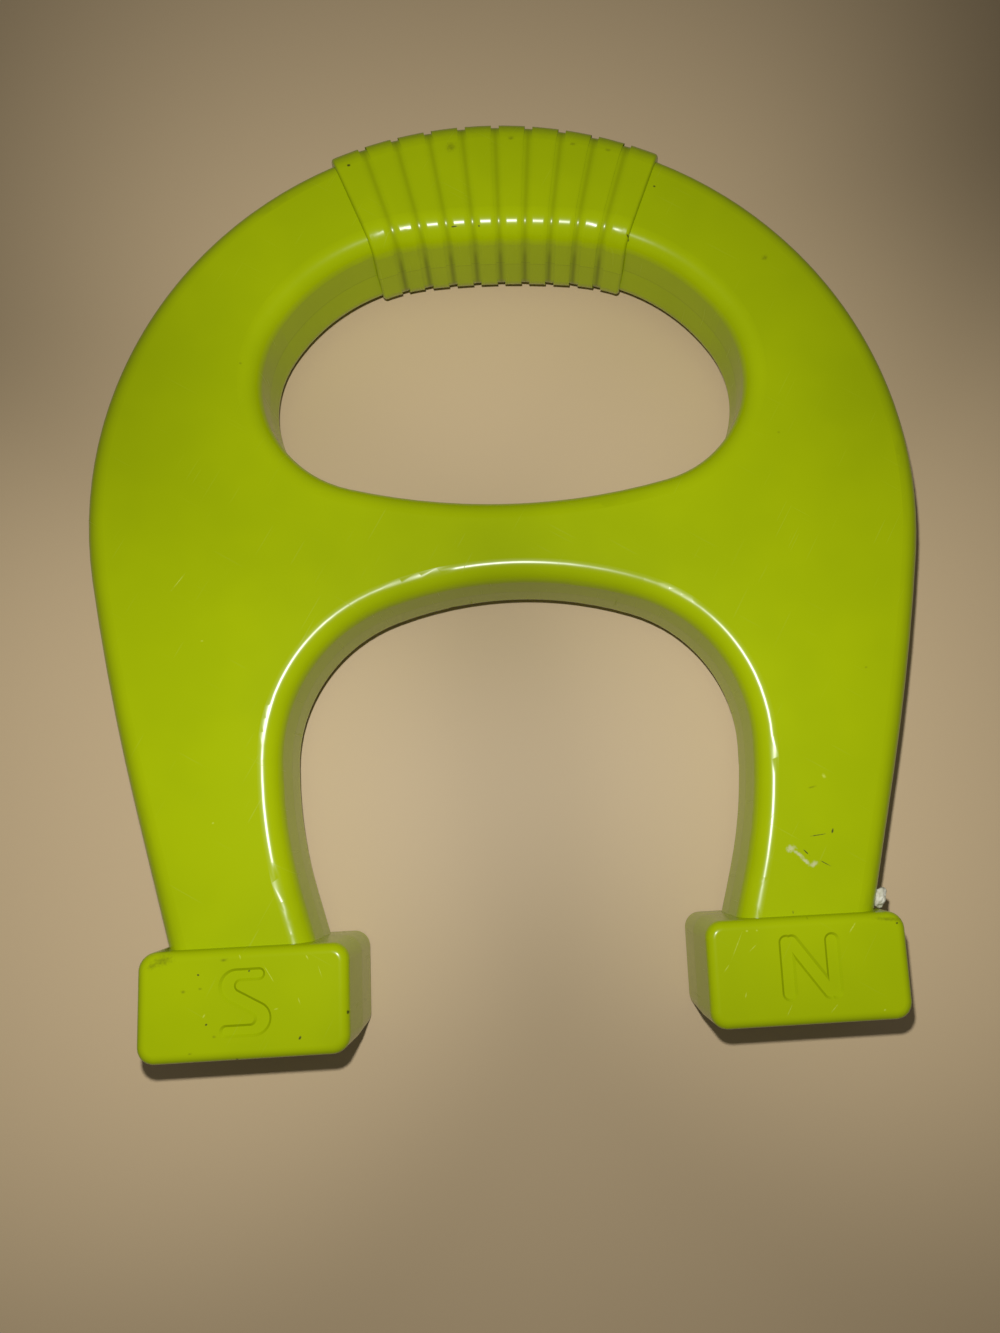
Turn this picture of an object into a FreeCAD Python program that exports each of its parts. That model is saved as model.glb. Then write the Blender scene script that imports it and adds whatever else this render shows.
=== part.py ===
# Jumbo horseshoe magnet: two moulded half shells joined at mid-thickness, a ferrite block in each pole.
# Millimetres. It lies on its back: +X towards the N pole, +Y towards the grip, +Z out of the lettered face.
# The origin is under the middle of the overall box.
import FreeCAD
import Part

import math
import os

import Sketcher
from FreeCAD import Placement, Rotation, Vector

# Driving dimensions: word, value, meaning
SIZES = [
    ("bow_radius", 89.0, "outside of the bow"),
    ("pole_reach", 110.1, "bow centre to the pole faces"),
    ("flank_radius", 530.0, "gentle curve where the bow runs into the legs"),
    ("flank_angle", 9.2, "degrees below the bow centre where that curve starts"),
    ("leg_lean", 14.4, "degrees by which the outside of a leg leans inwards"),
    ("gap_drop", 17.45, "bow centre down to the top of the gap between the legs"),
    ("leg_width", 40.5, "outside of the bow to the gap at its widest"),
    ("gap_top_radius", 81.0, "flat arch over the gap"),
    ("shoulder_radius", 32.9, "shoulder of the gap"),
    ("shank_radius", 98.6, "inside of a leg below the widest place"),
    ("gap_lean", 16.0, "degrees by which the inside of a leg leans inwards"),
    ("handle_height", 62.9, "handle opening, from its lower edge at the bow centre"),
    ("handle_half_width", 53.2, "half of the handle opening"),
    ("handle_low_radius", 135.0, "lower edge of the handle opening"),
    ("handle_end_radius", 25.3, "ends of the handle opening"),
    ("handle_side_radius", 43.1, "upper corners of the handle opening"),
    ("handle_top_radius", 185.0, "upper edge of the handle opening"),
    ("body_thickness", 23.2, "thickness of bow and legs"),
    ("edge_round", 4.3, "rounding of the body's edges"),
    ("draft", 1.2, "degrees of mould draft on every upright wall"),
    ("wall", 2.4, "wall of the shells"),
    ("block_thickness", 29.2, "thickness of the pole blocks"),
    ("block_width", 40.6, "pole block along X"),
    ("block_depth", 21.2, "pole block along Y"),
    ("block_inset", 34.2, "outside of the bow to the middle of a pole block"),
    ("block_corner", 3.6, "upright corners of a pole block"),
    ("block_round", 1.9, "rounding of a pole block's face edges"),
    ("collar_proud", 1.5, "grip collar above the body all round"),
    ("collar_angle", 21.4, "degrees from the middle to an end of the collar"),
    ("fan_drop", 14.0, "bow centre down to where the ribs' sides meet"),
    ("rib_count", 10, "ribs on the grip collar"),
    ("collar_end_round", 0.8, "rounding of the collar's ends"),
    ("groove_depth", 0.5, "depth of the grooves between ribs"),
    ("groove_radius", 0.35, "round bottom of those grooves"),
    ("groove_shoulder", 2.4, "pillowed shoulders of the ribs beside them"),
    ("groove_angle", 18.0, "degrees at which a shoulder leaves the top of a rib"),
    ("groove_rim", 0.45, "height of the grooves' cutter above the ribs"),
    ("groove_ease", 0.12, "rounding of a groove's line over that of the collar"),
    ("letter_height", 12.7, "pole letters from edge to edge"),
    ("letter_depth", 0.5, "depth of the recessed letters"),
    ("letter_slope", 0.5, "run of the sloped walls of the letters"),
    ("n_width", 12.2, "the N from edge to edge"),
    ("n_stroke", 3.1, "strokes of the N"),
    ("n_slant", 3.45, "ends of the N's slanted stroke from its middle"),
    ("n_right", 0.2, "the N right of the middle of its block"),
    ("n_rise", 0.75, "the N above the middle of its block"),
    ("s_width", 10.0, "the S from edge to edge"),
    ("s_stroke", 2.45, "arms of the S"),
    ("s_side", 3.3, "sides of the bowls of the S"),
    ("s_outer", 3.3, "outside of the bowls of the S"),
    ("s_inner", 0.8, "inside of the bowls of the S"),
    ("s_arm", 3.8, "end of the upper arm of the S from its middle"),
    ("s_heel", 4.8, "end of the lower arm of the S from its middle"),
    ("s_right", 0.5, "the S right of the middle of its block"),
    ("s_rise", 0.3, "the S above the middle of its block"),
    ("tongue_width", 1.2, "tongue along the parting line"),
    ("tongue_height", 1.5, "tongue below the parting line"),
    ("tongue_play", 0.15, "clearance between tongue and rebate"),
    ("post_radius", 3.0, "posts that locate one shell on the other"),
    ("pin_radius", 1.3, "pins on the back shell's posts"),
    ("pin_length", 5.0, "length of those pins"),
    ("pin_play", 0.1, "clearance of a pin in its socket"),
    ("magnet_depth", 10.0, "ferrite block along Y"),
    ("magnet_play", 0.15, "clearance of the ferrite block in its pocket"),
    ("rib_width", 1.6, "ribs behind the ferrite block"),
    ("rib_spread", 9.0, "ribs from the middle of the pole block"),
    ("magnet_bevel", 1.0, "bevel on the ferrite block's edges"),
    ("post_web_x", 22.0, "posts in the web from the middle plane"),
    ("post_leg_inset", 27.0, "outside of the bow to the posts in the legs"),
    ("post_leg_drop", 66.0, "bow centre down to the posts in the legs"),
    ("seam_overlap", 0.3, "how far a post or rib runs into the wall that carries it"),
]

doc = FreeCAD.newDocument("horseshoe_magnet")
sheet = doc.addObject("Spreadsheet::Sheet", "dims")
for row, (word, value, meaning) in enumerate(SIZES, start=1):
    sheet.set(f"A{row}", word)
    sheet.set(f"B{row}", str(value))
    sheet.set(f"C{row}", meaning)
    sheet.setAlias(f"B{row}", word)
doc.recompute()

# Places that follow from the sizes, as expressions of the sheet
BOW_Y = "(dims.pole_reach - dims.bow_radius - dims.collar_proud) / 2"
POLE_Y = "(dims.pole_reach + dims.bow_radius + dims.collar_proud) / 2"
BODY_HALF = "dims.body_thickness / 2"
BLOCK_HALF = "dims.block_thickness / 2"
COLLAR_HALF = "(dims.body_thickness / 2 + dims.collar_proud)"
GAP_HALF = "(dims.bow_radius - dims.leg_width)"
BLOCK_X = "(dims.bow_radius - dims.block_inset)"
LEG_END_Y = f"({POLE_Y} - dims.block_depth + dims.wall)"
ROOF_DROP = f"(dims.handle_top_radius - dims.handle_height - {BOW_Y})"
DRAFT_RUN = f"({BLOCK_HALF} - dims.wall) * tan(dims.draft)"
MAGNET_FACE_Y = f"({POLE_Y} - dims.wall - {DRAFT_RUN} - dims.magnet_play)"

# Lengths closer than this are taken as equal
SAME = 1e-4


def number(expression):
    """The value of an expression of the sheet."""
    value = sheet.evalExpression(expression)
    return float(getattr(value, "Value", value))


def arc(centre, radius, start, end):
    """An arc in the sketch plane, counterclockwise between two angles in degrees."""
    circle = Part.Circle(Vector(centre[0], centre[1], 0), Vector(0, 0, 1), radius)
    return Part.ArcOfCircle(circle, math.radians(start), math.radians(end))


def line(start, end):
    return Part.LineSegment(Vector(start[0], start[1], 0), Vector(end[0], end[1], 0))


def polar(centre, radius, degrees):
    """The point at a radius and an angle from a centre."""
    turn = math.radians(degrees)
    return (centre[0] + radius * math.cos(turn), centre[1] + radius * math.sin(turn))


def crossing(first, first_radius, second, second_radius):
    """The crossing of two circles that lies to the right of the way from first to second."""
    dx, dy = second[0] - first[0], second[1] - first[1]
    apart = math.hypot(dx, dy)
    along = (apart**2 + first_radius**2 - second_radius**2) / (2 * apart)
    aside = math.sqrt(first_radius**2 - along**2)
    return (
        first[0] + (along * dx + aside * dy) / apart,
        first[1] + (along * dy - aside * dx) / apart,
    )


def towards(start, end):
    """The direction from one point to another, in degrees."""
    return math.degrees(math.atan2(end[1] - start[1], end[0] - start[0]))


class Drawing:
    """A sketch on the parting plane of a body, with its dimensions bound to the sheet."""

    AXIS = -2
    ORIGIN = (-1, 1)

    def __init__(self, body, name):
        self.sketch = body.newObject("Sketcher::SketchObject", name)
        planes = [part for part in body.Origin.OriginFeatures if part.Role == "XY_Plane"]
        self.sketch.AttachmentSupport = (planes[0], "")
        self.sketch.MapMode = "FlatFace"

    def add(self, *shapes, guide=False):
        return [self.sketch.addGeometry(shape, guide) for shape in shapes]

    def fix(self, kind, *places):
        """A constraint without a size."""
        self.sketch.addConstraint(Sketcher.Constraint(kind, *places))

    def size(self, kind, *places, to):
        """A constraint whose size is an expression of the sheet."""
        value = number(to)
        angle = math.radians(value) if kind == "Angle" else value
        index = self.sketch.addConstraint(Sketcher.Constraint(kind, *places, angle))
        self.sketch.setExpression(f"Constraints[{index}]", to)

    def centre_on_axis(self, curve):
        self.fix("PointOnObject", curve, 3, self.AXIS)

    def level(self, curve):
        """Both ends of a curve at one height."""
        self.fix("Horizontal", curve, 1, curve, 2)

    def mirror_chain(self, right, right_ends, left, first_end, last_end):
        """Ties a chain on the left to its mirror image on the right, between two fixed ends."""
        joint = first_end
        for place, (source, image) in enumerate(zip(right, left)):
            source_first, source_last = right_ends[place]
            image_first, image_last = (2, 1) if source_first == 1 else (1, 2)
            if self.sketch.Geometry[source].TypeId == "Part::GeomLineSegment":
                image_first, image_last = source_first, source_last
            else:
                self.fix("Equal", source, image)
            self.fix("Coincident", *joint, image, image_first)
            if place == len(right) - 1:
                self.fix("Coincident", image, image_last, *last_end)
            else:
                self.fix("Symmetric", source, source_last, image, image_last, self.AXIS)
            joint = (image, image_last)


def flipped(shape):
    """The mirror image of an arc or a line on the other side of the middle plane."""
    if shape.TypeId == "Part::GeomLineSegment":
        start, end = shape.StartPoint, shape.EndPoint
        return line((-start.x, start.y), (-end.x, end.y))
    centre = shape.Center
    first = math.degrees(shape.FirstParameter)
    last = math.degrees(shape.LastParameter)
    return arc((-centre.x, centre.y), shape.Radius, 180 - last, 180 - first)


def draw_horseshoe(drawing, inset):
    """The outline of bow and legs, drawn inset by an expression from the outside."""
    bow_y, shift = number(BOW_Y), number(inset)
    lean, gap_lean, flank = (number(f"dims.{word}") for word in ("leg_lean", "gap_lean", "flank_angle"))
    bow, bow_radius = (0, bow_y), number(f"dims.bow_radius - {inset}")
    flank_radius = number(f"dims.flank_radius - {inset}")
    flank_centre = polar(bow, number("dims.bow_radius - dims.flank_radius"), -flank)
    arch_radius = number(f"dims.gap_top_radius + {inset}")
    shoulder_radius = number(f"dims.shoulder_radius + {inset}")
    shank_radius = number(f"dims.shank_radius + {inset}")
    arch = (0, bow_y - number("dims.gap_drop + dims.gap_top_radius"))
    shoulder_x = number(f"{GAP_HALF} - dims.shoulder_radius")
    rise = math.sqrt(number("dims.gap_top_radius - dims.shoulder_radius") ** 2 - shoulder_x**2)
    shoulder = (shoulder_x, arch[1] + rise)
    shank = (number(f"{GAP_HALF} - dims.shank_radius"), shoulder[1])
    meet = towards(arch, shoulder)
    end_y = shift - number(LEG_END_Y)
    outer_top = polar(flank_centre, flank_radius, -lean)
    inner_top = polar(shank, shank_radius, -gap_lean)
    outer_foot = (outer_top[0] - (outer_top[1] - end_y) * math.tan(math.radians(lean)), end_y)
    inner_foot = (inner_top[0] - (inner_top[1] - end_y) * math.tan(math.radians(gap_lean)), end_y)

    top, crown = drawing.add(
        arc(bow, bow_radius, -flank, 180 + flank),
        arc(arch, arch_radius, meet, 180 - meet),
    )
    shapes = [
        arc(flank_centre, flank_radius, -lean, -flank),
        line(outer_top, outer_foot),
        line(outer_foot, inner_foot),
        line(inner_foot, inner_top),
        arc(shank, shank_radius, -gap_lean, 0),
        arc(shoulder, shoulder_radius, 0, meet),
    ]
    flank_arc, outer, foot, inner, shank_arc, shoulder_arc = right = drawing.add(*shapes)
    left = drawing.add(*[flipped(shape) for shape in shapes])

    drawing.centre_on_axis(top)
    drawing.size("DistanceY", *drawing.ORIGIN, top, 3, to=BOW_Y)
    drawing.size("Radius", top, to=f"dims.bow_radius - {inset}")
    drawing.size("DistanceY", top, 1, top, 3, to=f"(dims.bow_radius - {inset}) * sin(dims.flank_angle)")
    drawing.level(top)
    drawing.fix("Tangent", top, 1, flank_arc, 2)
    drawing.size("Radius", flank_arc, to=f"dims.flank_radius - {inset}")
    drawing.fix("Tangent", flank_arc, 1, outer, 1)
    drawing.size("Angle", outer, to="-90 - dims.leg_lean")
    drawing.fix("Coincident", outer, 2, foot, 1)
    drawing.fix("Horizontal", foot)
    drawing.size("DistanceY", foot, 1, *drawing.ORIGIN, to=f"{LEG_END_Y} - {inset}")
    drawing.fix("Coincident", foot, 2, inner, 1)
    drawing.size("Angle", inner, to="90 - dims.gap_lean")
    drawing.fix("Tangent", inner, 2, shank_arc, 1)
    drawing.size("Radius", shank_arc, to=f"dims.shank_radius + {inset}")
    drawing.fix("Tangent", shank_arc, 2, shoulder_arc, 1)
    drawing.fix("Horizontal", shank_arc, 3, shoulder_arc, 3)
    drawing.size("Radius", shoulder_arc, to=f"dims.shoulder_radius + {inset}")
    shoulder_place = f"{GAP_HALF} - dims.shoulder_radius"
    drawing.size("DistanceX", *drawing.ORIGIN, shoulder_arc, 3, to=shoulder_place)
    drawing.fix("Tangent", shoulder_arc, 2, crown, 1)
    drawing.centre_on_axis(crown)
    drawing.size("Radius", crown, to=f"dims.gap_top_radius + {inset}")
    drawing.size("DistanceY", crown, 3, top, 3, to="dims.gap_drop + dims.gap_top_radius")
    drawing.level(crown)
    ends = [(2, 1), (1, 2), (1, 2), (1, 2), (1, 2), (1, 2)]
    drawing.mirror_chain(right, ends, left, (top, 2), (crown, 2))


def handle_centres():
    """Centres of the handle opening's arcs: lower edge, end, upper corner, upper edge."""
    bow_y = number(BOW_Y)
    low_radius, end_radius = number("dims.handle_low_radius"), number("dims.handle_end_radius")
    side_radius, top_radius = number("dims.handle_side_radius"), number("dims.handle_top_radius")
    low = (0, bow_y + low_radius)
    end_x = number("dims.handle_half_width") - end_radius
    end = (end_x, low[1] - math.sqrt((low_radius - end_radius) ** 2 - end_x**2))
    top = (0, bow_y + number("dims.handle_height") - top_radius)
    side = crossing(end, side_radius - end_radius, top, top_radius - side_radius)
    return low, end, side, top


def draw_handle(drawing, inset, guide=False):
    """The handle opening, drawn inset by an expression into the material; returns its upper corner arc."""
    low, end, side, top = handle_centres()
    radii = [f"dims.handle_{word}_radius + {inset}" for word in ("low", "end", "side", "top")]
    low_radius, end_radius, side_radius, top_radius = (number(radius) for radius in radii)
    low_end, end_side, side_top = towards(low, end), towards(side, end), towards(top, side)
    floor, roof = drawing.add(
        arc(low, low_radius, 180 - low_end, 360 + low_end),
        arc(top, top_radius, side_top, 180 - side_top),
        guide=guide,
    )
    shapes = [arc(end, end_radius, low_end, end_side), arc(side, side_radius, end_side, side_top)]
    end_arc, side_arc = right = drawing.add(*shapes, guide=guide)
    left = drawing.add(*[flipped(shape) for shape in shapes], guide=guide)

    drawing.centre_on_axis(floor)
    drawing.size("Radius", floor, to=radii[0])
    drawing.size("DistanceY", *drawing.ORIGIN, floor, 3, to=f"{BOW_Y} + dims.handle_low_radius")
    drawing.level(floor)
    drawing.fix("Tangent", floor, 2, end_arc, 1)
    drawing.size("Radius", end_arc, to=radii[1])
    end_place = "dims.handle_half_width - dims.handle_end_radius"
    drawing.size("DistanceX", *drawing.ORIGIN, end_arc, 3, to=end_place)
    drawing.fix("Tangent", end_arc, 2, side_arc, 1)
    drawing.size("Radius", side_arc, to=radii[2])
    drawing.fix("Tangent", side_arc, 2, roof, 1)
    drawing.centre_on_axis(roof)
    drawing.size("Radius", roof, to=radii[3])
    drawing.size("DistanceY", roof, 3, *drawing.ORIGIN, to=ROOF_DROP)
    drawing.level(roof)
    drawing.mirror_chain(right, [(1, 2), (1, 2)], left, (floor, 1), (roof, 2))
    return side_arc


def draw_blocks(drawing, inset):
    """Both pole blocks with rounded corners, drawn inset by an expression."""
    half_width = number(f"dims.block_width / 2 - {inset}")
    face = number(f"{inset} - {POLE_Y}")
    back = number(f"dims.block_depth - {POLE_Y} - {inset}")
    corner = number(f"dims.block_corner - {inset}")
    for side in (-1, 1):
        middle = side * number(BLOCK_X)
        west, east = middle - half_width, middle + half_width
        runs = drawing.add(
            line((west + corner, face), (east - corner, face)),
            arc((east - corner, face + corner), corner, -90, 0),
            line((east, face + corner), (east, back - corner)),
            arc((east - corner, back - corner), corner, 0, 90),
            line((east - corner, back), (west + corner, back)),
            arc((west + corner, back - corner), corner, 90, 180),
            line((west, back - corner), (west, face + corner)),
            arc((west + corner, face + corner), corner, 180, 270),
        )
        for first, second in zip(runs, runs[1:] + runs[:1]):
            drawing.fix("Tangent", first, 2, second, 1)
        front, first_corner, right, _, rear, _, left, _ = runs
        for level in (front, rear):
            drawing.fix("Horizontal", level)
        for upright in (left, right):
            drawing.fix("Vertical", upright)
        for other in runs[3::2]:
            drawing.fix("Equal", first_corner, other)
        drawing.size("Radius", first_corner, to=f"dims.block_corner - {inset}")
        drawing.size("DistanceX", left, 2, right, 1, to=f"dims.block_width - 2 * {inset}")
        drawing.size("DistanceY", front, 1, rear, 2, to=f"dims.block_depth - 2 * {inset}")
        drawing.size("DistanceY", front, 1, *drawing.ORIGIN, to=f"{POLE_Y} - {inset}")
        outer_side = f"{BLOCK_X} + dims.block_width / 2 - {inset}"
        if side > 0:
            drawing.size("DistanceX", *drawing.ORIGIN, right, 1, to=outer_side)
        else:
            drawing.size("DistanceX", left, 2, *drawing.ORIGIN, to=outer_side)


def fan_centre():
    """The point at which the sides of the collar's ribs would meet."""
    return (0, number(f"{BOW_Y} - dims.fan_drop"))


def reach(degrees, centre, radius):
    """The place where a fan line leaves a circle, the line leaning by an angle from the middle plane."""
    fan = fan_centre()
    lean = math.radians(degrees)
    way = (math.sin(lean), math.cos(lean))
    dx, dy = centre[0] - fan[0], centre[1] - fan[1]
    along = dx * way[0] + dy * way[1]
    aside = dx * way[1] - dy * way[0]
    length = along + math.sqrt(radius**2 - aside**2)
    return (fan[0] + length * way[0], fan[1] + length * way[1])


def collar_inner_arc(degrees):
    """Centre and radius of the arc on the opening's side of the collar, at an angle of the fan."""
    _, _, side, top = handle_centres()
    top_radius = number("dims.handle_top_radius - dims.collar_proud")
    change = towards(top, side)
    x, y = reach(degrees, top, top_radius)
    if towards(top, (abs(x), y)) > change:
        return top, top_radius
    mirrored = (math.copysign(side[0], degrees), side[1])
    return mirrored, number("dims.handle_side_radius - dims.collar_proud")


def draw_collar(drawing):
    """The grip collar seen from above: a sector of bow and opening, proud of both."""
    bow = (0, number(BOW_Y))
    _, _, side, top = handle_centres()
    outer_radius = number("dims.bow_radius + dims.collar_proud")
    top_radius = number("dims.handle_top_radius - dims.collar_proud")
    side_radius = number("dims.handle_side_radius - dims.collar_proud")
    angle = number("dims.collar_angle")
    outer_end = reach(angle, bow, outer_radius)
    inner_end = reach(angle, side, side_radius)
    change = towards(top, side)
    outer, inner = drawing.add(
        arc(bow, outer_radius, towards(bow, outer_end), 180 - towards(bow, outer_end)),
        arc(top, top_radius, change, 180 - change),
    )
    shapes = [line(outer_end, inner_end), arc(side, side_radius, towards(side, inner_end), change)]
    end_line, corner = right = drawing.add(*shapes)
    left = drawing.add(*[flipped(shape) for shape in shapes])
    fan, = drawing.add(Part.Point(Vector(*fan_centre(), 0)), guide=True)
    opening_corner = draw_handle(drawing, "0", guide=True)

    drawing.fix("PointOnObject", fan, 1, drawing.AXIS)
    drawing.size("DistanceY", fan, 1, outer, 3, to="dims.fan_drop")
    drawing.centre_on_axis(outer)
    drawing.size("DistanceY", *drawing.ORIGIN, outer, 3, to=BOW_Y)
    drawing.size("Radius", outer, to="dims.bow_radius + dims.collar_proud")
    drawing.level(outer)
    drawing.fix("Coincident", outer, 1, end_line, 1)
    drawing.fix("PointOnObject", fan, 1, end_line)
    drawing.size("Angle", end_line, to="-90 - dims.collar_angle")
    drawing.fix("Coincident", end_line, 2, corner, 1)
    drawing.size("Radius", corner, to="dims.handle_side_radius - dims.collar_proud")
    drawing.fix("Vertical", corner, 3, opening_corner, 3)
    drawing.fix("Tangent", corner, 2, inner, 1)
    drawing.centre_on_axis(inner)
    drawing.size("Radius", inner, to="dims.handle_top_radius - dims.collar_proud")
    drawing.size("DistanceY", inner, 3, *drawing.ORIGIN, to=ROOF_DROP)
    drawing.level(inner)
    drawing.mirror_chain(right, [(1, 2), (1, 2)], left, (outer, 2), (inner, 2))


def add_feature(body, kind, name, **properties):
    """A feature on the tip of a body; strings are expressions of the sheet, the rest are plain values."""
    feature = body.newObject(f"PartDesign::{kind}", name)
    for word, value in properties.items():
        if isinstance(value, str):
            feature.setExpression(word, value)
        else:
            setattr(feature, word, value)
    doc.recompute()
    return feature


def raise_walls(body, name, drawing, height):
    """Moulded walls from the parting plane outwards, with draft."""
    return add_feature(
        body, "Pad", name, Profile=drawing.sketch, Length=height, TaperAngle="-dims.draft"
    )


def hollow(body, name, drawing, depth, draft=False):
    """A pocket from the parting plane outwards."""
    taper = {"TaperAngle": "-dims.draft"} if draft else {}
    return add_feature(body, "Pocket", name, Profile=drawing.sketch, Length=depth, Reversed=True, **taper)


def round_rim(body, name, base, height, radius, skip):
    """Rounds the edges of a raised face, apart from those that skip names."""
    level = number(height)
    edges = []
    for index, edge in enumerate(base.Shape.Edges, start=1):
        box = edge.BoundBox
        if abs(box.ZMin - level) < SAME and abs(box.ZMax - level) < SAME and not skip(edge):
            edges.append(f"Edge{index}")
    return add_feature(body, "Fillet", name, Base=(base, edges), Radius=radius)


def round_collar_ends(body, name, base, bow):
    """Rounds the outer edges of the collar's end faces, which stand proud of the bow."""
    proud = number("dims.collar_proud / 2")
    edges = []
    for face in base.Shape.Faces:
        if not is_collar_end(face):
            continue
        for edge in face.Edges:
            middle = Part.Vertex(edge.valueAt((edge.FirstParameter + edge.LastParameter) / 2))
            if middle.distToShape(bow)[0] < proud or middle.Z < SAME:
                continue
            for place, other in enumerate(base.Shape.Edges, start=1):
                if other.isSame(edge):
                    edges.append(f"Edge{place}")
    return add_feature(body, "Fillet", name, Base=(base, edges), Radius="dims.collar_end_round")


def is_collar_end(face):
    """A collar's end is a tall face on one side, much longer across the bow than along it."""
    box = face.BoundBox
    tall = box.ZLength > number(COLLAR_HALF) / 2
    return tall and box.XMin * box.XMax > 0 and box.YLength > 2 * box.XLength


def is_leg_end(edge):
    """A leg's end lies across it, inside the pole block."""
    return is_straight(edge) and edge.BoundBox.YLength < SAME


def is_straight(edge):
    return edge.Curve.TypeId == "Part::GeomLine"


def post_places():
    """Middles of the locating posts, as pairs of expressions, all but the last on the right side."""
    return [
        ("dims.bow_radius - dims.leg_width / 2", BOW_Y),
        ("dims.post_web_x", f"{BOW_Y} - dims.gap_drop / 2"),
        ("dims.bow_radius - dims.post_leg_inset", f"{BOW_Y} - dims.post_leg_drop"),
        ("0", f"{BOW_Y} + (dims.bow_radius + dims.handle_height) / 2"),
    ]


def draw_posts(drawing, radius):
    """A circle for each locating post."""
    for x, y in post_places():
        across, up = number(x), number(y)
        for side in (1, -1) if across else (0,):
            circle = Part.Circle(Vector(side * across, up, 0), Vector(0, 0, 1), number(radius))
            index, = drawing.add(circle)
            drawing.size("Radius", index, to=radius)
            if side > 0:
                drawing.size("DistanceX", *drawing.ORIGIN, index, 3, to=x)
            elif side < 0:
                drawing.size("DistanceX", index, 3, *drawing.ORIGIN, to=x)
            else:
                drawing.centre_on_axis(index)
            if up > 0:
                drawing.size("DistanceY", *drawing.ORIGIN, index, 3, to=y)
            else:
                drawing.size("DistanceY", index, 3, *drawing.ORIGIN, to=f"-({y})")


def draw_stops(drawing):
    """The ribs that hold each ferrite block against its pole face."""
    front = f"{MAGNET_FACE_Y} - dims.magnet_depth - dims.magnet_play"
    length = f"{front} - ({POLE_Y} - dims.block_depth + dims.wall) + dims.seam_overlap"
    for side in (-1, 1):
        for place in (-1, 1):
            middle = side * number(BLOCK_X) + place * number("dims.rib_spread")
            west, east = middle - number("dims.rib_width / 2"), middle + number("dims.rib_width / 2")
            south = -number(front)
            north = south + number(length)
            corners = [(west, south), (east, south), (east, north), (west, north)]
            runs = drawing.add(*[line(*ends) for ends in zip(corners, corners[1:] + corners[:1])])
            for first, second in zip(runs, runs[1:] + runs[:1]):
                drawing.fix("Coincident", first, 2, second, 1)
            bottom, right, top, left = runs
            for level in (bottom, top):
                drawing.fix("Horizontal", level)
            for upright in (right, left):
                drawing.fix("Vertical", upright)
            drawing.size("DistanceX", bottom, 1, bottom, 2, to="dims.rib_width")
            drawing.size("DistanceY", right, 1, right, 2, to=length)
            drawing.size("DistanceY", bottom, 1, *drawing.ORIGIN, to=front)
            sign = "+" if place * side > 0 else "-"
            edge = f"{BLOCK_X} {sign} dims.rib_spread - dims.rib_width / 2"
            if side > 0:
                drawing.size("DistanceX", *drawing.ORIGIN, bottom, 1, to=edge)
            else:
                drawing.size("DistanceX", bottom, 2, *drawing.ORIGIN, to=edge)


def mould_shell(name, front):
    """A half shell in its own frame: parting plane at the origin, outside up."""
    body = doc.addObject("PartDesign::Body", name)

    outline = Drawing(body, f"{name}_outline")
    draw_horseshoe(outline, "0")
    draw_handle(outline, "0")
    walls = raise_walls(body, f"{name}_body", outline, BODY_HALF)
    round_rim(body, f"{name}_body_round", walls, BODY_HALF, "dims.edge_round", is_leg_end)

    bow = body.Shape.copy()
    collar = Drawing(body, f"{name}_collar_outline")
    draw_collar(collar)
    walls = raise_walls(body, f"{name}_collar", collar, COLLAR_HALF)
    collar_round = "dims.edge_round + dims.collar_proud"
    rounded = round_rim(body, f"{name}_collar_round", walls, COLLAR_HALF, collar_round, is_straight)
    round_collar_ends(body, f"{name}_collar_ends", rounded, bow)

    blocks = Drawing(body, f"{name}_block_outline")
    draw_blocks(blocks, "0")
    walls = raise_walls(body, f"{name}_blocks", blocks, BLOCK_HALF)
    round_rim(body, f"{name}_block_round", walls, BLOCK_HALF, "dims.block_round", lambda edge: False)

    inside = Drawing(body, f"{name}_inside")
    draw_horseshoe(inside, "dims.wall")
    draw_handle(inside, "dims.wall")
    hollow(body, f"{name}_hollow", inside, f"{BODY_HALF} - dims.wall", draft=True)
    pockets = Drawing(body, f"{name}_pockets")
    draw_blocks(pockets, "dims.wall")
    hollow(body, f"{name}_magnet_pockets", pockets, f"{BLOCK_HALF} - dims.wall", draft=True)

    posts = Drawing(body, f"{name}_post_outline")
    draw_posts(posts, "dims.post_radius")
    post_height = f"{BODY_HALF} - dims.wall + dims.seam_overlap"
    add_feature(body, "Pad", f"{name}_posts", Profile=posts.sketch, Length=post_height)
    stops = Drawing(body, f"{name}_stop_outline")
    draw_stops(stops)
    stop_height = f"{BLOCK_HALF} - dims.wall + dims.seam_overlap"
    add_feature(body, "Pad", f"{name}_stops", Profile=stops.sketch, Length=stop_height)

    if front:
        join_with_tongue(body, name)
    else:
        join_with_rebate(body, name)
    return body


def draw_seam(body, name, outer, inner):
    """Rings along the parting line between two insets: one for bow and legs, one for the pole blocks."""
    rings = []
    for part, draws in (("body", (draw_horseshoe, draw_handle)), ("block", (draw_blocks,))):
        ring = Drawing(body, f"{name}_{part}_seam")
        for draw in draws:
            draw(ring, outer)
            draw(ring, inner)
        rings.append((part, ring))
    return rings


def join_with_tongue(body, name):
    """The front shell's tongue along the parting line, and the sockets for the pins."""
    for part, ring in draw_seam(body, name, "(dims.wall - dims.tongue_width)", "dims.wall"):
        add_feature(
            body, "Pad", f"{name}_{part}_tongue",
            Profile=ring.sketch, Length="dims.tongue_height", Reversed=True,
        )
    sockets = Drawing(body, f"{name}_socket_outline")
    draw_posts(sockets, "dims.pin_radius + dims.pin_play")
    hollow(body, f"{name}_sockets", sockets, "dims.pin_length + dims.tongue_play")


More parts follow.
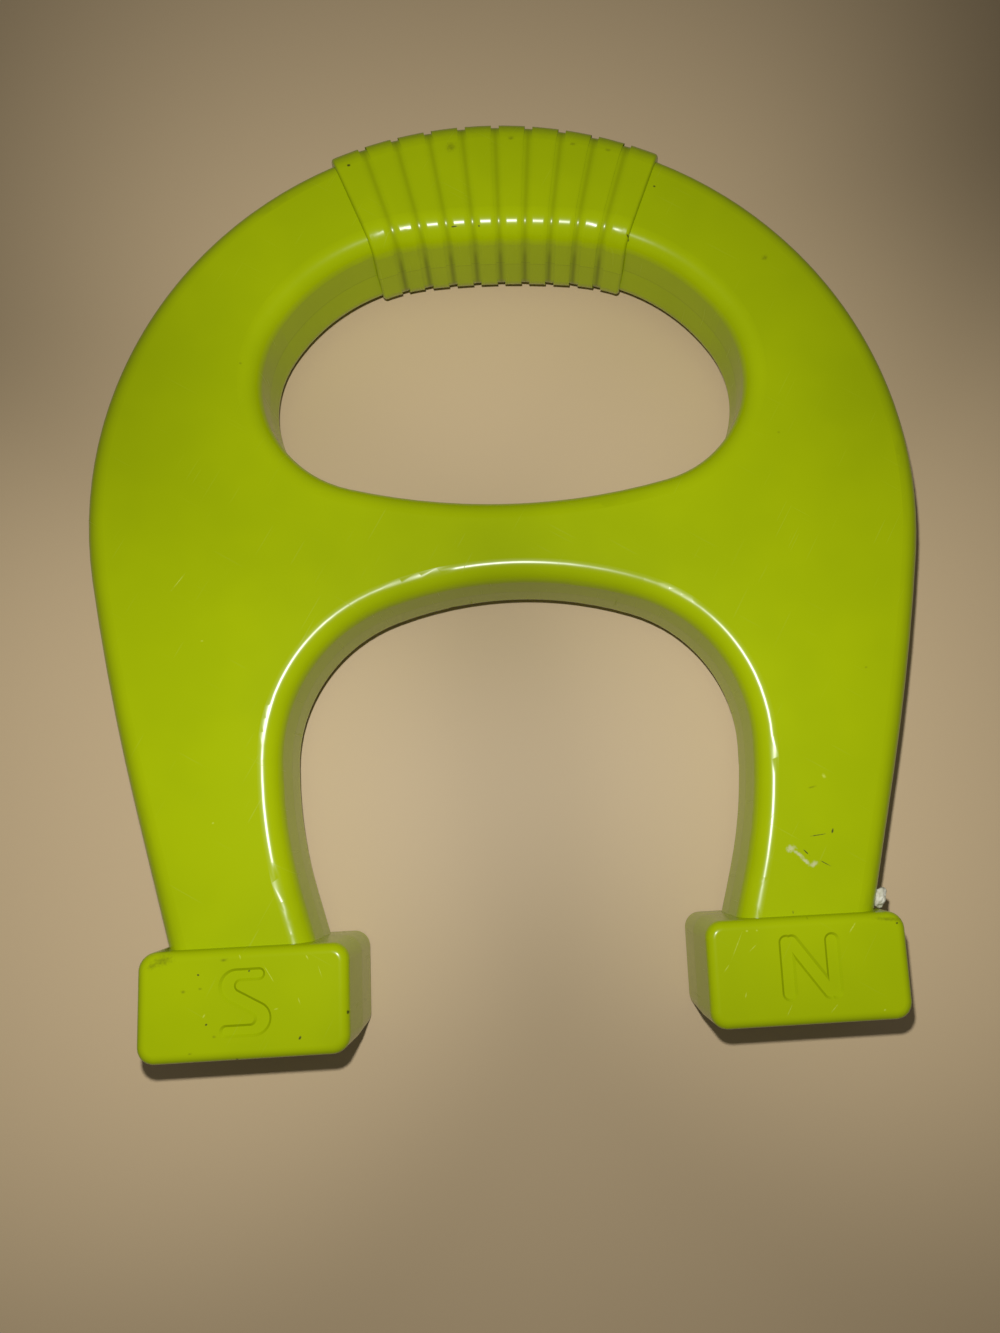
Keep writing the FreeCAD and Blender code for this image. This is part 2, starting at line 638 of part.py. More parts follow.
def join_with_rebate(body, name):
    """The back shell's rebate for the tongue, and the pins on its posts."""
    outer = "(dims.wall - dims.tongue_width - dims.tongue_play)"
    inner = "(dims.wall + dims.seam_overlap)"
    for part, ring in draw_seam(body, name, outer, inner):
        hollow(body, f"{name}_{part}_rebate", ring, "dims.tongue_height + dims.tongue_play")
    pins = Drawing(body, f"{name}_pin_outline")
    draw_posts(pins, "dims.pin_radius")
    add_feature(
        body, "Pad", f"{name}_pins", Profile=pins.sketch, Length="dims.pin_length", Reversed=True
    )


def groove_side(edge, side):
    """Points of a groove's line over one side of the collar: foot, wall end, corner, top.

    Each is a distance from the fan's centre and a height.
    """
    draft = math.radians(number("dims.draft"))
    radius = number("dims.edge_round + dims.collar_proud + dims.groove_ease")
    centre_z = number(COLLAR_HALF) - radius
    centre = edge - side * (centre_z * math.tan(draft) + radius / math.cos(draft))
    turns = (draft, math.pi / 4 + draft / 2, math.pi / 2)
    wall_end, middle, top = (
        (centre + side * radius * math.cos(turn), centre_z + radius * math.sin(turn)) for turn in turns
    )
    below = number("dims.groove_rim")
    foot = (wall_end[0] + side * (wall_end[1] + below) * math.tan(draft), -below)
    return foot, wall_end, middle, top


def groove_section(foot, across, out):
    """The section of a groove: a round bottom between two pillowed shoulders, open at the top."""
    depth, bottom = number("dims.groove_depth"), number("dims.groove_radius")
    shoulder, rim = number("dims.groove_shoulder"), number("dims.groove_rim")
    leave = math.radians(number("dims.groove_angle"))
    shoulder_v, bottom_v = -shoulder * math.cos(leave), bottom - depth
    shoulder_u = math.sqrt((shoulder + bottom) ** 2 - (bottom_v - shoulder_v) ** 2)
    steep = math.atan2(shoulder_u, bottom_v - shoulder_v)

    def place(side, along, up):
        return foot + across * (side * along) + out * up

    def on_shoulder(side, turn):
        return place(side, shoulder_u - shoulder * math.sin(turn), shoulder_v + shoulder * math.cos(turn))

    edge_u = shoulder_u - shoulder * math.sin(leave)
    rims = {side: place(side, edge_u + rim / math.tan(leave), rim) for side in (-1, 1)}
    low_ends = {side: on_shoulder(side, steep) for side in (-1, 1)}
    high_ends = {side: on_shoulder(side, leave) for side in (-1, 1)}
    halfway = {side: on_shoulder(side, (leave + steep) / 2) for side in (-1, 1)}
    return Part.Wire([
        Part.LineSegment(rims[-1], high_ends[-1]).toShape(),
        Part.Arc(high_ends[-1], halfway[-1], low_ends[-1]).toShape(),
        Part.Arc(low_ends[-1], place(1, 0, -depth), low_ends[1]).toShape(),
        Part.Arc(low_ends[1], halfway[1], high_ends[1]).toShape(),
        Part.LineSegment(high_ends[1], rims[1]).toShape(),
        Part.LineSegment(rims[1], rims[-1]).toShape(),
    ])


def groove(degrees):
    """A soft groove over the collar, from the opening's side to the outside."""
    fan = fan_centre()
    lean = math.radians(degrees)
    centre, radius = collar_inner_arc(degrees)
    outer_end = reach(degrees, (0, number(BOW_Y)), number("dims.bow_radius + dims.collar_proud"))
    inner_end = reach(degrees, centre, radius)
    outer = groove_side(math.dist(fan, outer_end), 1)
    inner = groove_side(math.dist(fan, inner_end), -1)

    def place(point):
        return Vector(fan[0] + point[0] * math.sin(lean), fan[1] + point[0] * math.cos(lean), point[1])

    foot, wall_end, middle, top = (place(point) for point in outer)
    last_foot, last_wall_end, last_middle, last_top = (place(point) for point in inner)
    path = Part.Wire([
        Part.LineSegment(foot, wall_end).toShape(),
        Part.Arc(wall_end, middle, top).toShape(),
        Part.LineSegment(top, last_top).toShape(),
        Part.Arc(last_top, last_middle, last_wall_end).toShape(),
        Part.LineSegment(last_wall_end, last_foot).toShape(),
    ])
    across = Vector(math.cos(lean), -math.sin(lean), 0)
    out = across.cross(wall_end - foot).normalize()
    return path.makePipeShell([groove_section(foot, across, out)], True, False)


def grooves():
    """The grooves between the ribs, evenly spread over the collar."""
    count = round(number("dims.rib_count"))
    angle = number("dims.collar_angle")
    return [groove(angle * (2 * place / count - 1)) for place in range(1, count)]


def sloped(outline):
    """A recess with sloped walls: from an outline at the face to the same outline inset at the bottom."""
    depth, slope = number("dims.letter_depth"), number("dims.letter_slope")
    floor = outline(slope)
    floor.translate(Vector(0, 0, -depth))
    rim = outline(-slope)
    rim.translate(Vector(0, 0, depth))
    return Part.makeLoft([floor, rim], True, True)


def stadium(start, end, width):
    """The outline of a stroke with round ends."""
    way = (end - start).normalize()
    aside = Vector(-way.y, way.x, 0) * (width / 2)
    ahead = way * (width / 2)
    return Part.Wire([
        Part.LineSegment(start + aside, end + aside).toShape(),
        Part.Arc(end + aside, end + ahead, end - aside).toShape(),
        Part.LineSegment(end - aside, start - aside).toShape(),
        Part.Arc(start - aside, start - ahead, start + aside).toShape(),
    ])


def letter_n():
    """Recesses of the letter on the north pole: two uprights and a slanted stroke."""
    stroke = number("dims.n_stroke")
    across = number("(dims.n_width - dims.n_stroke) / 2")
    up = number("(dims.letter_height - dims.n_stroke) / 2")
    slant = number("dims.n_slant")

    def recess(head, foot):
        ends = Vector(head, up, 0), Vector(foot, -up, 0)
        return sloped(lambda inset: stadium(*ends, stroke - 2 * inset))

    return [recess(-across, -across), recess(-slant, slant), recess(across, across)]


def s_boundary(inset, arm, heel):
    """One side of the S: along its upper arm, round the outside of a bowl, and inside the other bowl."""
    stroke, up = number("dims.s_stroke"), number("dims.letter_height / 2")
    outer, inner = number("dims.s_outer") - inset, number("dims.s_inner") + inset
    high = Vector(number("dims.s_outer - dims.s_width / 2"), up - number("dims.s_outer"), 0)
    low = Vector(number("dims.s_width / 2 - dims.s_side - dims.s_inner"), 0, 0)
    low.y = stroke + number("dims.s_inner") - up
    apart = low - high
    lean = math.atan2(apart.y, apart.x) - math.acos((outer + inner) / apart.Length)
    side = Vector(math.cos(lean), math.sin(lean), 0)
    crown, foot = high + Vector(0, outer, 0), low - Vector(0, inner, 0)
    halfway = (lean + math.pi - math.pi / 2) / 2
    bend = Vector(math.cos(halfway), math.sin(halfway), 0)
    return [
        Part.LineSegment(Vector(arm - stroke / 2, up - inset, 0), crown).toShape(),
        Part.Arc(crown, high - Vector(outer, 0, 0), high + side * outer).toShape(),
        Part.LineSegment(high + side * outer, low - side * inner).toShape(),
        Part.Arc(low - side * inner, low + bend * inner, foot).toShape(),
        Part.LineSegment(foot, Vector(stroke / 2 - heel, stroke - up - inset, 0)).toShape(),
    ]


def s_outline(inset):
    """The S drawn inset: its two sides, half a turn apart, and the round ends of its arms."""
    stroke, up = number("dims.s_stroke"), number("dims.letter_height / 2")
    arm, heel = number("dims.s_arm"), number("dims.s_heel")
    first = s_boundary(inset, arm, heel)
    second = s_boundary(inset, heel, arm)
    for edge in second:
        edge.rotate(Vector(), Vector(0, 0, 1), 180)
    half = stroke / 2 - inset
    above, ahead = Vector(0, half, 0), Vector(half, 0, 0)
    heel_end = Vector(stroke / 2 - heel, stroke / 2 - up, 0)
    arm_end = Vector(arm - stroke / 2, up - stroke / 2, 0)
    heel_cap = Part.Arc(heel_end + above, heel_end - ahead, heel_end - above).toShape()
    arm_cap = Part.Arc(arm_end - above, arm_end + ahead, arm_end + above).toShape()
    return Part.Wire(first + [heel_cap] + second + [arm_cap])


def letters():
    """Recesses of the pole letters, in the front shell's frame."""
    middle_y = number(f"dims.block_depth / 2 - {POLE_Y}")
    recesses = []
    for word, side, strokes in (("n", 1, letter_n()), ("s", -1, [sloped(s_outline)])):
        right, rise = number(f"{side} * {BLOCK_X} + dims.{word}_right"), number(f"dims.{word}_rise")
        for recess in strokes:
            recess.translate(Vector(right, middle_y + rise, number(BLOCK_HALF)))
        recesses += strokes
    return recesses


def cut_away(name, base, tools):
    """A piece less the solids of its cutters."""
    cutters = doc.addObject("Part::Feature", f"{name}_cutters")
    cutters.Shape = Part.makeCompound(tools)
    piece = doc.addObject("Part::Cut", name)
    piece.Base = base
    piece.Tool = cutters
    return piece


def cut_shell(name, front, placement):
    """The finished shell: the moulding less its letters and grooves, put in its place."""
    moulding = mould_shell(f"{name}_moulding", front)
    for place, recess in enumerate(letters() if front else []):
        moulding = cut_away(f"{name}_stroke_{place}", moulding, [recess])
    shell = cut_away(name, moulding, grooves())
    shell.Placement = placement
    shell.setExpression("Placement.Base.z", BLOCK_HALF)
    return shell


def magnet(name, side):
    """A ferrite block in a pole, held against the pole face."""
    block = doc.addObject("Part::Box", f"{name}_block")
    width = f"dims.block_width - 2 * (dims.wall + {DRAFT_RUN} + dims.magnet_play)"
    height = "dims.block_thickness - 2 * (dims.wall + dims.magnet_play)"
    block.setExpression("Length", width)
    block.setExpression("Width", "dims.magnet_depth")
    block.setExpression("Height", height)
    doc.recompute()
    piece = doc.addObject("Part::Chamfer", name)
    piece.Base = block
    bevel = number("dims.magnet_bevel")
    piece.Edges = [(index, bevel, bevel) for index in range(1, len(block.Shape.Edges) + 1)]
    piece.setExpression("Placement.Base.x", f"{side} * {BLOCK_X} - ({width}) / 2")
    piece.setExpression("Placement.Base.y", f"-{MAGNET_FACE_Y}")
    piece.setExpression("Placement.Base.z", "dims.wall + dims.magnet_play")
    return piece


pieces = [
    cut_shell("front_shell", True, Placement()),
    cut_shell("back_shell", False, Placement(Vector(), Rotation(Vector(0, 1, 0), 180))),
    magnet("north_magnet", 1),
    magnet("south_magnet", -1),
]
for piece in pieces:
    piece.Label = piece.Name
doc.recompute()

for item in doc.Objects:
    if "Invalid" in item.State or "Error" in item.State:
        raise RuntimeError(f"{item.Name} failed: {item.State}")
for piece in pieces:
    if piece.Shape.isNull() or not piece.Shape.isValid():
        raise RuntimeError(f"{piece.Label} has no valid shape")

os.makedirs("parts", exist_ok=True)
for piece in pieces:
    piece.Shape.exportStep(f"parts/{piece.Label}.step")
    box = piece.Shape.BoundBox
    print(piece.Label, "volume", round(piece.Shape.Volume), "solids", len(piece.Shape.Solids), box)
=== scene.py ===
import math

import bmesh
import bpy
from mathutils import Euler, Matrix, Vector, noise


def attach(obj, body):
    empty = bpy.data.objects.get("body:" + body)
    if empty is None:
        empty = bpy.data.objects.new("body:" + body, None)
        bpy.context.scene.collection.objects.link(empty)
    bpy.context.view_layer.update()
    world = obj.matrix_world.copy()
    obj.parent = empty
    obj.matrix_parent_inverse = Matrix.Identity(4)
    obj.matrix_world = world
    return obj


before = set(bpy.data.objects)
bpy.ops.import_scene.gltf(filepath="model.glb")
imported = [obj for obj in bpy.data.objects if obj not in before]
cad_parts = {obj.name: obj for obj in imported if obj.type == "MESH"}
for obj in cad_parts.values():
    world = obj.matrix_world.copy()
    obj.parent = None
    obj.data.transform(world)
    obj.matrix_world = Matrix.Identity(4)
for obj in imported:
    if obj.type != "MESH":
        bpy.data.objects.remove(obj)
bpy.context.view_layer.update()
MM = 0.001

# The camera looks down on the magnet from where the photograph was taken, a little below the middle
# of the object. Marks on the plastic are placed through it, by the pixel at which they show.
PHOTO_WIDTH, PHOTO_HEIGHT = 1000, 1333
FOCAL_PIXELS = 1001.3
AXIS_PIXEL = (573.0, 668.8)
CAMERA_PLACE = Vector((0.5, -61.7, 230.0)) * MM
CAMERA_TURN = Euler([math.radians(turn) for turn in (9.70, -2.59, -2.89)])

camera_data = bpy.data.cameras.new("camera")
camera_data.lens = camera_data.sensor_width * FOCAL_PIXELS / PHOTO_HEIGHT
camera_data.shift_x = (PHOTO_WIDTH / 2 - AXIS_PIXEL[0]) / PHOTO_HEIGHT
camera_data.shift_y = (AXIS_PIXEL[1] - PHOTO_HEIGHT / 2) / PHOTO_HEIGHT
camera_data.clip_start = 10 * MM
camera = bpy.data.objects.new("camera", camera_data)
camera.location = CAMERA_PLACE
camera.rotation_euler = CAMERA_TURN
bpy.context.scene.collection.objects.link(camera)
bpy.context.scene.camera = camera


def sight(pixel):
    """The direction in which the camera sees a pixel of the photograph."""
    across = (pixel[0] - AXIS_PIXEL[0]) / FOCAL_PIXELS
    up = (AXIS_PIXEL[1] - pixel[1]) / FOCAL_PIXELS
    return (CAMERA_TURN.to_matrix() @ Vector((across, up, -1))).normalized()


def shown_on(piece, pixel):
    """The point of a piece that shows at a pixel of the photograph."""
    hit, place, _, _ = piece.ray_cast(CAMERA_PLACE, sight(pixel))
    if not hit:
        raise RuntimeError(f"{piece.name} doesn't show at {pixel}")
    return place


# The two ferrite blocks are pressed and sintered, then ground. They sit inside the poles, out of sight.
# The ceramic is nearly black and matt, with a fine grain.
def put(tree, kind, inputs=None, **settings):
    """Adds a node to a tree, sets it up, and links or sets its inputs."""
    node = tree.nodes.new(kind)
    for word, value in settings.items():
        setattr(node, word, value)
    for socket, value in (inputs or {}).items():
        if isinstance(value, bpy.types.NodeSocket):
            tree.links.new(value, node.inputs[socket])
        else:
            node.inputs[socket].default_value = value
    return node


def new_material(name, **sockets):
    """A material with a Principled shader whose fixed values are set on its own sockets."""
    material = bpy.data.materials.new(name)
    material.use_nodes = True
    shader = material.node_tree.nodes["Principled BSDF"]
    for word, value in sockets.items():
        shader.inputs[word.replace("_", " ")].default_value = value
    return material, material.node_tree, shader


def ramp(tree, value, low, high, colours=None):
    """A smooth step of a value from 0 at low to 1 at high, or between two colours."""
    step = put(
        tree, "ShaderNodeMapRange", {"Value": value, "From Min": low, "From Max": high},
        interpolation_type="SMOOTHSTEP",
    ).outputs["Result"]
    if colours is None:
        return step
    return blend_colour(tree, step, *colours)


def blend_colour(tree, share, first, second):
    """Goes from one colour to another by a share."""
    mix = put(tree, "ShaderNodeMix", data_type="RGBA")
    for socket, value in ((mix.inputs["Factor"], share), (mix.inputs[6], first), (mix.inputs[7], second)):
        if isinstance(value, bpy.types.NodeSocket):
            tree.links.new(value, socket)
        else:
            socket.default_value = value
    return mix.outputs[2]


def calc(tree, operation, *values, clamp=False):
    """A sum of two or three values in a Math node."""
    inputs = dict(enumerate(values))
    return put(tree, "ShaderNodeMath", inputs, operation=operation, use_clamp=clamp).outputs[0]


FERRITE = (0.030, 0.030, 0.033, 1)
FERRITE_WORN = (0.055, 0.054, 0.056, 1)
FERRITE_GRAIN = 900.0
FERRITE_RELIEF = 0.1 * MM

ferrite, tree, shader = new_material("ferrite", Roughness=0.7)
place = put(tree, "ShaderNodeTexCoord").outputs["Object"]
grain = put(tree, "ShaderNodeTexNoise", {"Vector": place, "Scale": FERRITE_GRAIN, "Detail": 4}).outputs["Fac"]
tree.links.new(ramp(tree, grain, 0.35, 0.7, (FERRITE, FERRITE_WORN)), shader.inputs["Base Color"])
bump = put(tree, "ShaderNodeBump", {"Height": grain, "Strength": 0.3, "Distance": FERRITE_RELIEF})
tree.links.new(bump.outputs["Normal"], shader.inputs["Normal"])

for name in ("north_magnet", "south_magnet"):
    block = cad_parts[name]
    block.data.materials.clear()
    block.data.materials.append(ferrite)


# The two half shells are injection moulded in glossy lime-green plastic and welded along the parting
# line. The plastic has a faint waviness, fine scratches from use, and a little dirt.
LIME = (0.352, 0.446, 0.0004, 1)
LIME_DEEP = (0.330, 0.422, 0.0004, 1)
SEAM_COLOUR = (0.12, 0.15, 0.002, 1)
GLOSS = 0.22
WORN_GLOSS = 0.4
SHINE = 0.18
PARTING = 14.6 * MM
SEAM_HALF = 0.08 * MM
SEAM_SHARE = 0.7

# The skin's slow waves, and its scratches: the turn of each set and how closely it is drawn.
WAVES_APART = 55.0
WAVES_STRENGTH = 0.25
WAVES_HEIGHT = 0.5 * MM
SCRATCH_SETS = ((-1.05, (90.0, 3800.0, 90.0)), (0.55, (70.0, 4200.0, 70.0)))
SCRATCH_LOW, SCRATCH_HIGH = 0.80, 0.88
SCRATCH_SHARE = 0.05

# The grip's ribs fan out from one place. Beside each groove they fall away softly, and its foot is painted
# darker as shade, more so low on the inner wall.
FAN_PLACE = Vector((0, -4.2, 0)) * MM
FAN_CLEAR = 50.0 * MM
RIB_TURN = math.radians(4.28)
GROOVED_TURNS = 4.5
FOOT_HALF = 0.95 * MM
SHOULDER_HALF = 1.9 * MM
SHOULDER_DROP = 0.30 * MM
# Painted shade in the grooves' feet: its colour, how much of it shows, and how much more it takes towards the
# wall's foot.
FOOT_SHADE_COLOUR = (0.150, 0.185, 0.0004, 1)
FOOT_SHADE_SHARE, FOOT_SHADE_SHARE_MORE = 0.35, 0.40
WALL_TOP, WALL_FOOT = 21.0 * MM, 16.0 * MM

# Marks on the upper faces: pixel of the photograph, half length and half width in millimetres, turn.
DIRT_COLOUR = (0.022, 0.020, 0.004, 1)
DIRT = (
    ((348.7, 165.3), 0.42, 0.34, 20),
    ((654.3, 186.3), 0.28, 0.24, 0),
    ((628.2, 236.7), 0.45, 0.22, -30),
    ((454.0, 226.5), 0.75, 0.16, 5),
    ((479.0, 226.0), 0.22, 0.18, 0),
    ((249.0, 971.0), 0.24, 0.20, 0),
    ((300.0, 1038.0), 0.42, 0.26, 40),
    ((206.0, 1025.0), 0.26, 0.20, 30),
    ((198.0, 975.0), 0.24, 0.20, 0),
    ((237.0, 1059.0), 0.22, 0.18, 0),
    ((348.0, 1012.0), 0.24, 0.40, 0),
    ((897.0, 923.0), 0.26, 0.22, 0),
    ((793.0, 912.0), 0.10, 0.42, 0),
    ((832.5, 831.0), 0.24, 0.62, -18),
    ((818.0, 835.0), 1.7, 0.10, 6),
    ((806.5, 852.5), 0.85, 0.16, -48),
    ((825.0, 863.0), 1.3, 0.10, -30),
)
GRIME_COLOUR = (0.125, 0.140, 0.004, 1)
GRIME = (
    ((162.0, 961.0), 2.6, 1.1, 8),
    ((152.0, 966.0), 1.3, 0.7, 30),
    ((183.0, 992.0), 0.55, 0.35, 0),
    ((200.0, 989.0), 0.45, 0.30, 0),
    ((214.0, 1037.0), 0.45, 0.35, 0),
    ((190.0, 1054.0), 0.40, 0.30, 0),
    ((224.0, 960.0), 1.0, 0.4, 0),
    ((888.0, 919.0), 3.6, 0.5, -6),
    ((764.7, 257.6), 0.95, 0.75, 40),
    ((240.6, 363.2), 0.40, 0.30, 0),
    ((778.4, 432.1), 0.40, 0.30, 0),
    ((451.0, 147.0), 1.5, 1.3, 60),
    ((511.0, 138.0), 0.8, 0.6, 0),
    ((573.0, 144.0), 1.0, 0.5, 0),
    ((608.0, 150.0), 0.8, 0.5, 0),
    ((807.0, 918.0), 0.20, 0.35, 0),
    ((866.0, 667.0), 0.35, 0.30, 0),
    ((812.0, 787.0), 1.2, 0.25, 10),
)
PALE_COLOUR = (0.60, 0.68, 0.10, 1)
PALE = (
    ((179.0, 581.0), 2.3, 0.09, 52),
    ((202.0, 641.0), 0.30, 0.20, 0),
    ((213.0, 823.0), 0.30, 0.20, 40),
    ((824.0, 776.0), 0.42, 0.60, 15),
    ((204.0, 1016.0), 0.42, 0.18, 60),
    ((307.0, 957.0), 0.50, 0.16, -65),
    ((240.0, 957.0), 0.55, 0.14, -70),
    ((269.0, 974.0), 2.2, 0.08, -59),
    ((320.0, 971.5), 1.2, 0.08, -72),
    ((299.0, 1000.5), 0.75, 0.10, -72),
    ((276.0, 1009.0), 0.45, 0.16, 10),
    ((737.0, 945.5), 3.0, 0.09, 64),
    ((753.5, 947.5), 1.3, 0.08, 40),
    ((727.0, 968.0), 0.9, 0.09, 50),
    ((747.0, 931.0), 0.28, 0.22, 0),
    ((757.0, 930.5), 0.24, 0.20, 0),
    ((746.0, 995.0), 0.60, 0.14, 72),
    ((852.5, 927.5), 1.1, 0.16, 52),
    ((885.0, 1010.0), 0.30, 0.20, 20),
    ((790.0, 1010.0), 1.3, 0.07, 60),
    ((835.0, 1008.0), 1.2, 0.07, 45),
)
CHALK_COLOUR = (0.54, 0.55, 0.30, 1)
CHALK = (
    ((791.0, 848.5), 1.15, 0.78, 8),
    ((799.0, 854.5), 1.60, 0.42, -42),
    ((805.5, 861.0), 1.30, 0.46, -40),
    ((814.0, 864.0), 1.00, 0.66, 20),
)

# How the marks lie on the plastic, from the first to the last: the share of a mark's size within which
# it covers fully, and how much of the plastic's colour it takes.
COATS = {
    "grime": (GRIME, -0.4, 0.7, GRIME_COLOUR),
    "pale": (PALE, 0.1, 0.6, PALE_COLOUR),
    "chalk": (CHALK, 0.1, 0.8, CHALK_COLOUR),
    "dirt": (DIRT, 0.4, 0.85, DIRT_COLOUR),
}
MARK_REACH = 1.15
MARKED_ABOVE = 22.0 * MM
RAGGED_GRAIN = 2200.0
RAGGEDNESS = 1.3
FAR_AWAY = 100.0


def new_group(name, inputs, outputs):
    """A node group for one effect, with the sockets of its input node and its output node."""
    group = bpy.data.node_groups.new(name, "ShaderNodeTree")
    for word, kind in inputs:
        group.interface.new_socket(word, in_out="INPUT", socket_type=f"NodeSocket{kind}")
    for word, kind in outputs:
        group.interface.new_socket(word, in_out="OUTPUT", socket_type=f"NodeSocket{kind}")
    return group, put(group, "NodeGroupInput").outputs, put(group, "NodeGroupOutput")


def make_mark_group():
    """Measures how far a point is from a mark's centre, as a share of the mark's size, squared."""
    inputs = [(word, "Vector") for word in ("Place", "Centre", "Along", "Aside")] + [("Nearest", "Float")]
    group, given, result = new_group("mark", inputs, [("Nearest", "Float")])
    offset = put(group, "ShaderNodeVectorMath", {0: given["Place"], 1: given["Centre"]}, operation="SUBTRACT")
    along, aside = (
        put(
            group, "ShaderNodeVectorMath", {0: offset.outputs[0], 1: given[word]}, operation="DOT_PRODUCT",
        ).outputs["Value"]
        for word in ("Along", "Aside")
    )
    away = calc(group, "MULTIPLY_ADD", along, along, calc(group, "MULTIPLY", aside, aside))
    group.links.new(calc(group, "MINIMUM", away, given["Nearest"]), result.inputs["Nearest"])
    return group


def make_skin_group():
    """The moulded skin: slow waves, and fine scratches in two directions."""
    group, given, result = new_group(
        "moulded_skin", [("Place", "Vector")], [("Waves", "Float"), ("Scratches", "Float")]
    )
    waves = put(group, "ShaderNodeTexNoise", {"Vector": given["Place"], "Scale": WAVES_APART, "Detail": 2.0})
    group.links.new(waves.outputs["Fac"], result.inputs["Waves"])
    scratches = []
    for turn, stretch in SCRATCH_SETS:
        turned = put(
            group, "ShaderNodeVectorRotate", {"Vector": given["Place"], "Angle": turn}, rotation_type="Z_AXIS"
        )
        drawn = put(
            group, "ShaderNodeVectorMath", {0: turned.outputs[0], 1: stretch}, operation="MULTIPLY"
        )
        lines = put(group, "ShaderNodeTexNoise", {"Vector": drawn.outputs[0], "Scale": 1.0, "Detail": 0.0})
        scratches.append(ramp(group, lines.outputs["Fac"], SCRATCH_LOW, SCRATCH_HIGH))
    group.links.new(calc(group, "MAXIMUM", *scratches), result.inputs["Scratches"])
    return group


def make_rib_group():
    """The grip's grooves: a mask of their feet, and how far the ribs fall away beside them."""
    group, given, result = new_group("ribs", [("Place", "Vector")], [("Foot", "Float"), ("Fall", "Float")])
    offset = put(group, "ShaderNodeVectorMath", {0: given["Place"], 1: FAN_PLACE}, operation="SUBTRACT")
    parts = put(group, "ShaderNodeSeparateXYZ", {0: offset.outputs[0]}).outputs
    x_squared, y_squared = (calc(group, "MULTIPLY", parts[axis], parts[axis]) for axis in (0, 1))
    reach = calc(group, "SQRT", calc(group, "ADD", x_squared, y_squared))
    turns = calc(group, "DIVIDE", calc(group, "ARCTAN2", parts[0], parts[1]), RIB_TURN)
    inside = calc(
        group, "MULTIPLY",
        calc(group, "LESS_THAN", calc(group, "ABSOLUTE", turns), GROOVED_TURNS),
        calc(group, "GREATER_THAN", reach, FAN_CLEAR),
    )
    share = calc(group, "PINGPONG", turns, 0.5)
    across = calc(group, "MULTIPLY", calc(group, "MULTIPLY", share, RIB_TURN), reach)
    for word, half in (("Foot", FOOT_HALF), ("Fall", SHOULDER_HALF)):
        group.links.new(calc(group, "MULTIPLY", inside, ramp(group, across, half, 0.0)), result.inputs[word])
    return group


def add_marks(tree, place, group, marks, ragged, full):
    """The mask of several marks, each put where its pixel shows; it is full at a share of their size."""
    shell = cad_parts["front_shell"]
    nearest = FAR_AWAY
    for pixel, half_length, half_width, turn in marks:
        lean = math.radians(turn)
        inputs = {
            "Place": place, "Centre": shown_on(shell, pixel), "Nearest": nearest,
            "Along": Vector((math.cos(lean), math.sin(lean), 0)) / (half_length * MM),
            "Aside": Vector((-math.sin(lean), math.cos(lean), 0)) / (half_width * MM),
        }
        nearest = put(tree, "ShaderNodeGroup", inputs, node_tree=group).outputs["Nearest"]
    return ramp(tree, calc(tree, "ADD", calc(tree, "SQRT", nearest), ragged), MARK_REACH, full)


mark_group = make_mark_group()
skin_group = make_skin_group()
rib_group = make_rib_group()

lime, tree, shader = new_material("lime_plastic", Specular_IOR_Level=SHINE)
place = put(tree, "ShaderNodeTexCoord").outputs["Object"]
skin = put(tree, "ShaderNodeGroup", {"Place": place}, node_tree=skin_group).outputs
ribs = put(tree, "ShaderNodeGroup", {"Place": place}, node_tree=rib_group).outputs
height = put(tree, "ShaderNodeSeparateXYZ", {0: place}).outputs[2]
upper = calc(tree, "GREATER_THAN", height, MARKED_ABOVE)
from_seam = calc(tree, "ABSOLUTE", calc(tree, "SUBTRACT", height, PARTING))
seam = ramp(tree, from_seam, SEAM_HALF, 0.4 * SEAM_HALF)
# Painted shade in the grooves' feet, growing from the wall's top height down to its foot height.
foot_shade_share = calc(tree, "MULTIPLY_ADD", ramp(tree, height, WALL_TOP, WALL_FOOT), FOOT_SHADE_SHARE_MORE, FOOT_SHADE_SHARE)

colour = ramp(tree, skin["Waves"], 0.3, 0.7, (LIME_DEEP, LIME))
colour = blend_colour(tree, calc(tree, "MULTIPLY", skin["Scratches"], SCRATCH_SHARE), colour, PALE_COLOUR)
colour = blend_colour(tree, calc(tree, "MULTIPLY", ribs["Foot"], foot_shade_share), colour, FOOT_SHADE_COLOUR)
colour = blend_colour(tree, calc(tree, "MULTIPLY", seam, SEAM_SHARE), colour, SEAM_COLOUR)

edges = put(tree, "ShaderNodeTexNoise", {"Vector": place, "Scale": RAGGED_GRAIN, "Detail": 2.0})
ragged = calc(tree, "MULTIPLY_ADD", edges.outputs["Fac"], RAGGEDNESS, -RAGGEDNESS / 2)
cover = {}
for coat, (marks, full, share, tone) in COATS.items():
    mask = add_marks(tree, place, mark_group, marks, ragged, full)
    cover[coat] = calc(tree, "MULTIPLY", upper, mask)
    colour = blend_colour(tree, calc(tree, "MULTIPLY", cover[coat], share), colour, tone)
tree.links.new(colour, shader.inputs["Base Color"])

scratched = calc(tree, "MULTIPLY", skin["Scratches"], 0.5)
worn = calc(tree, "MAXIMUM", calc(tree, "MAXIMUM", cover["dirt"], cover["chalk"]), scratched)
tree.links.new(calc(tree, "MULTIPLY_ADD", worn, WORN_GLOSS, GLOSS), shader.inputs["Roughness"])

fall = {"Height": ribs["Fall"], "Strength": 1.0, "Distance": SHOULDER_DROP}
fallen = put(tree, "ShaderNodeBump", fall, invert=True).outputs["Normal"]
waves = {"Height": skin["Waves"], "Strength": WAVES_STRENGTH, "Distance": WAVES_HEIGHT, "Normal": fallen}
tree.links.new(put(tree, "ShaderNodeBump", waves).outputs["Normal"], shader.inputs["Normal"])

for name in ("front_shell", "back_shell"):
    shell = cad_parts[name]
    shell.data.materials.clear()
    shell.data.materials.append(lime)


